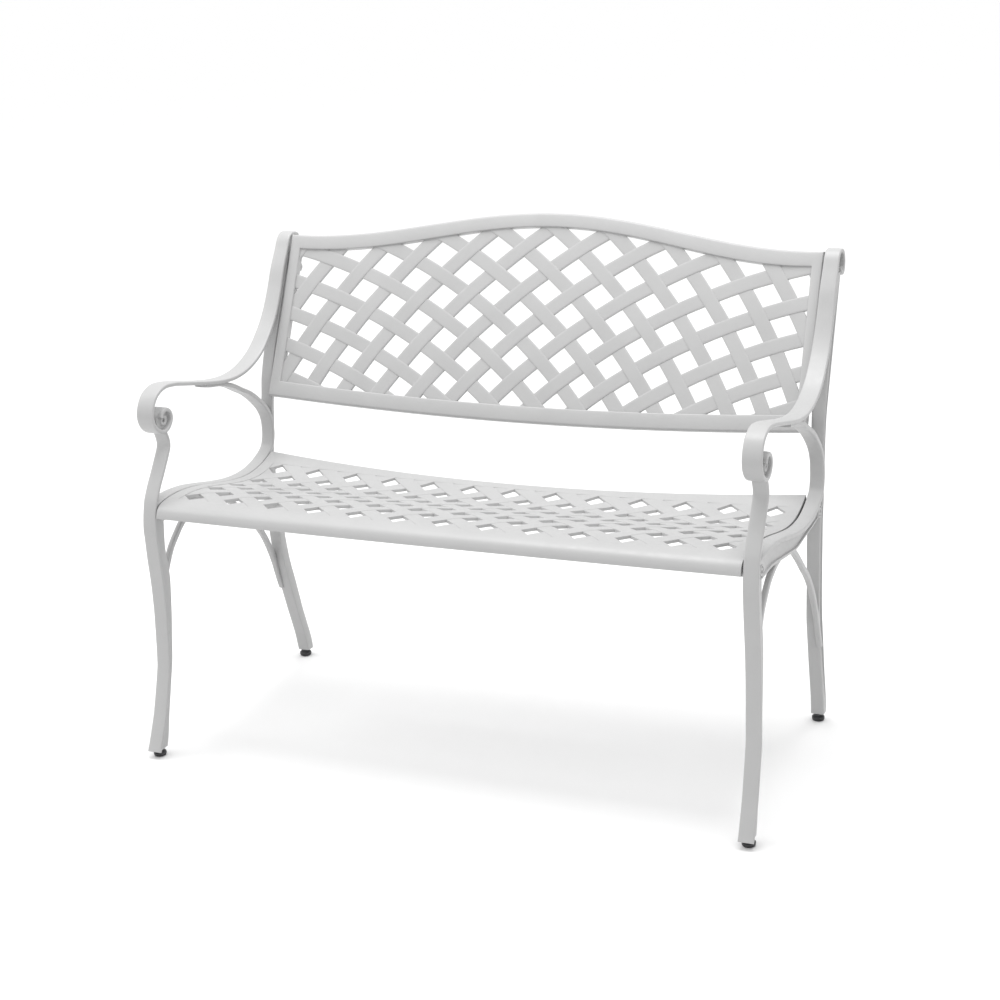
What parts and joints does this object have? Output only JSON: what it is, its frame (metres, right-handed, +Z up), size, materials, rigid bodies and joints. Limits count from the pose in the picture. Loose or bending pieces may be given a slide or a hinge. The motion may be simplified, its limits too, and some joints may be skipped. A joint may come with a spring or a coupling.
{
  "type": "garden bench",
  "caption": "White cast-metal garden bench with a curved woven-lattice back, a slotted lattice seat, scrolled armrests and screw-in levelling feet.",
  "frame": {"origin": "on the floor, at the middle of the box round the bench in plan", "axes": "+X to the bench's own left-to-right along the seat as seen from the front, +Y to the rear, +Z up"},
  "size_m": [1.03, 0.6091, 0.8301],
  "materials": {
    "white_coat": "satin powder coat over cast aluminium",
    "coated_bolt": "satin powder coat",
    "steel": "satin zinc plate",
    "black_plastic": "matte"
  },
  "bodies": {
    "bench": {"left_end_frame": "white_coat", "right_end_frame": "white_coat", "back_panel": "white_coat", "seat_panel": "white_coat", "seat_bolt_left_front": "coated_bolt", "seat_washer_left_front": "steel", "seat_lock_washer_left_front": "steel", "seat_nut_left_front": "steel", "seat_bolt_left_rear": "coated_bolt", "seat_washer_left_rear": "steel", "seat_lock_washer_left_rear": "steel", "seat_nut_left_rear": "steel", "seat_bolt_right_front": "coated_bolt", "seat_washer_right_front": "steel", "seat_lock_washer_right_front": "steel", "seat_nut_right_front": "steel", "seat_bolt_right_rear": "coated_bolt", "seat_washer_right_rear": "steel", "seat_lock_washer_right_rear": "steel", "seat_nut_right_rear": "steel", "back_bolt_left_lower": "coated_bolt", "back_washer_left_lower": "steel", "back_lock_washer_left_lower": "steel", "back_insert_left_lower": "steel", "back_bolt_left_upper": "coated_bolt", "back_washer_left_upper": "steel", "back_lock_washer_left_upper": "steel", "back_insert_left_upper": "steel", "back_bolt_right_lower": "coated_bolt", "back_washer_right_lower": "steel", "back_lock_washer_right_lower": "steel", "back_insert_right_lower": "steel", "back_bolt_right_upper": "coated_bolt", "back_washer_right_upper": "steel", "back_lock_washer_right_upper": "steel", "back_insert_right_upper": "steel", "foot_insert_left_front": "steel", "foot_insert_left_rear": "steel", "foot_insert_right_front": "steel", "foot_insert_right_rear": "steel"},
    "foot_left_front": {"foot_pad_left_front": "black_plastic", "foot_stud_left_front": "steel"},
    "foot_right_front": {"foot_pad_right_front": "black_plastic", "foot_stud_right_front": "steel"},
    "foot_left_rear": {"foot_pad_left_rear": "black_plastic", "foot_stud_left_rear": "steel"},
    "foot_right_rear": {"foot_pad_right_rear": "black_plastic", "foot_stud_right_rear": "steel"}
  },
  "joints": [
    {"name": "foot_left_front_height", "type": "slide", "parent": "bench", "child": "foot_left_front", "axis": [0, 0, -1], "range_m": [0, 0.008]},
    {"name": "foot_right_front_height", "type": "slide", "parent": "bench", "child": "foot_right_front", "axis": [0, 0, -1], "range_m": [0, 0.008]},
    {"name": "foot_left_rear_height", "type": "slide", "parent": "bench", "child": "foot_left_rear", "axis": [0, 0, -1], "range_m": [0, 0.008]},
    {"name": "foot_right_rear_height", "type": "slide", "parent": "bench", "child": "foot_right_rear", "axis": [0, 0, -1], "range_m": [0, 0.008]}
  ]
}
